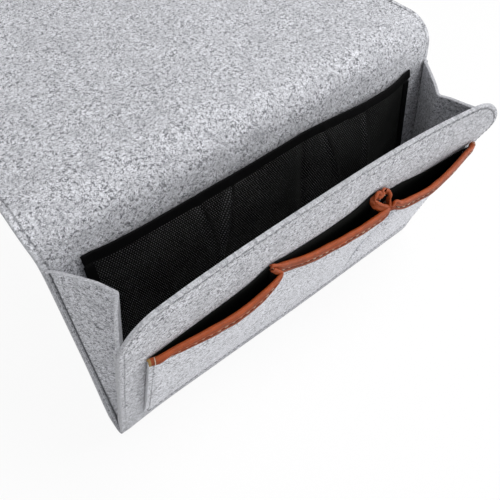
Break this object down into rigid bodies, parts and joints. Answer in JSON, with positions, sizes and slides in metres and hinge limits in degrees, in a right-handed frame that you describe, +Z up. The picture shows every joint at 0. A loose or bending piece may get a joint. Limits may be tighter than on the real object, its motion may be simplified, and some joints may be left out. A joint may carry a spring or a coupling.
{
  "type": "bedside caddy",
  "caption": "Hanging felt bedside caddy: a flap tucks under a mattress and carries a gusseted pocket with a mesh organiser inside and leather-bound pockets on the front.",
  "frame": {"origin": "middle of the flap's underside, where it lies on the bed", "axes": "+Z up with the back panel upright, +X along the width to the right seen from the front, +Y from the pocket towards the bed"},
  "size_m": [0.32, 0.34, 0.2494],
  "materials": {
    "felt": "mottled light grey pressed felt",
    "mesh": "black open knit mesh",
    "ribbon": "black folded ribbon",
    "lining": "black woven lining",
    "trim": "brown smooth leather-look binding",
    "thread_grey": "grey sewing thread",
    "thread_black": "black sewing thread",
    "thread_cream": "pale sewing thread"
  },
  "bodies": {
    "flap": {"flap_panel": "felt", "flap_left_thread": "thread_grey", "flap_right_thread": "thread_grey"},
    "back": {"back_panel": "felt", "left_gusset_rear_flange": "felt", "right_gusset_rear_flange": "felt", "left_rear_seam_thread": "thread_grey", "right_rear_seam_thread": "thread_grey", "mesh_panel": "mesh", "mesh_top_binding": "ribbon", "mesh_left_binding": "ribbon", "mesh_right_binding": "ribbon", "mesh_divider_thread": "thread_black", "mesh_bottom_thread": "thread_black"},
    "front": {"front_panel": "felt", "left_gusset_front_flange": "felt", "right_gusset_front_flange": "felt", "left_front_seam_thread": "thread_grey", "right_front_seam_thread": "thread_grey", "front_top_thread": "thread_grey", "pocket_lining": "lining", "left_pocket": "felt", "middle_pocket": "felt", "right_pocket": "felt", "left_pocket_trim": "trim", "middle_pocket_trim": "trim", "right_pocket_trim": "trim", "left_trim_thread": "thread_cream", "middle_trim_thread": "thread_cream", "right_trim_thread": "thread_cream", "left_division_thread": "thread_grey", "right_division_thread": "thread_grey", "pocket_left_end_thread": "thread_grey", "pocket_right_end_thread": "thread_grey", "pocket_bottom_thread": "thread_grey"},
    "left_rear_gusset": {"left_gusset_rear_half": "felt"},
    "right_rear_gusset": {"right_gusset_rear_half": "felt"},
    "left_front_gusset": {"left_gusset_front_half": "felt"},
    "right_front_gusset": {"right_gusset_front_half": "felt"}
  },
  "joints": [
    {"name": "flap_fold", "type": "hinge", "parent": "flap", "child": "back", "pos_m": [0, -0.1358, -0.02741], "axis": [1, 0, 0], "range_deg": [-80, 85]},
    {"name": "pocket_open", "type": "hinge", "parent": "back", "child": "front", "pos_m": [0, -0.14402, -0.21991], "axis": [1, 0, 0], "range_deg": [-14, 1.5]},
    {"name": "left_rear_gusset_fold", "type": "hinge", "parent": "back", "child": "left_rear_gusset", "pos_m": [-0.153, -0.14402, -0.21991], "axis": [0, 0, -1], "range_deg": [-44, 4.8]},
    {"name": "right_rear_gusset_fold", "type": "hinge", "parent": "back", "child": "right_rear_gusset", "pos_m": [0.153, -0.14402, -0.21991], "axis": [0, 0, 1], "range_deg": [-44, 4.8]},
    {"name": "left_front_gusset_fold", "type": "hinge", "parent": "front", "child": "left_front_gusset", "pos_m": [-0.153, -0.14402, -0.21991], "axis": [0, -0.3584, 0.9336], "range_deg": [-44, 4.8]},
    {"name": "right_front_gusset_fold", "type": "hinge", "parent": "front", "child": "right_front_gusset", "pos_m": [0.153, -0.14402, -0.21991], "axis": [0, 0.3584, -0.9336], "range_deg": [-44, 4.8]}
  ],
  "couplings": [
    {"joint": "left_rear_gusset_fold", "follows": "pocket_open", "ratio": 3.14},
    {"joint": "right_rear_gusset_fold", "follows": "pocket_open", "ratio": 3.14},
    {"joint": "left_front_gusset_fold", "follows": "pocket_open", "ratio": 3.14},
    {"joint": "right_front_gusset_fold", "follows": "pocket_open", "ratio": 3.14}
  ]
}
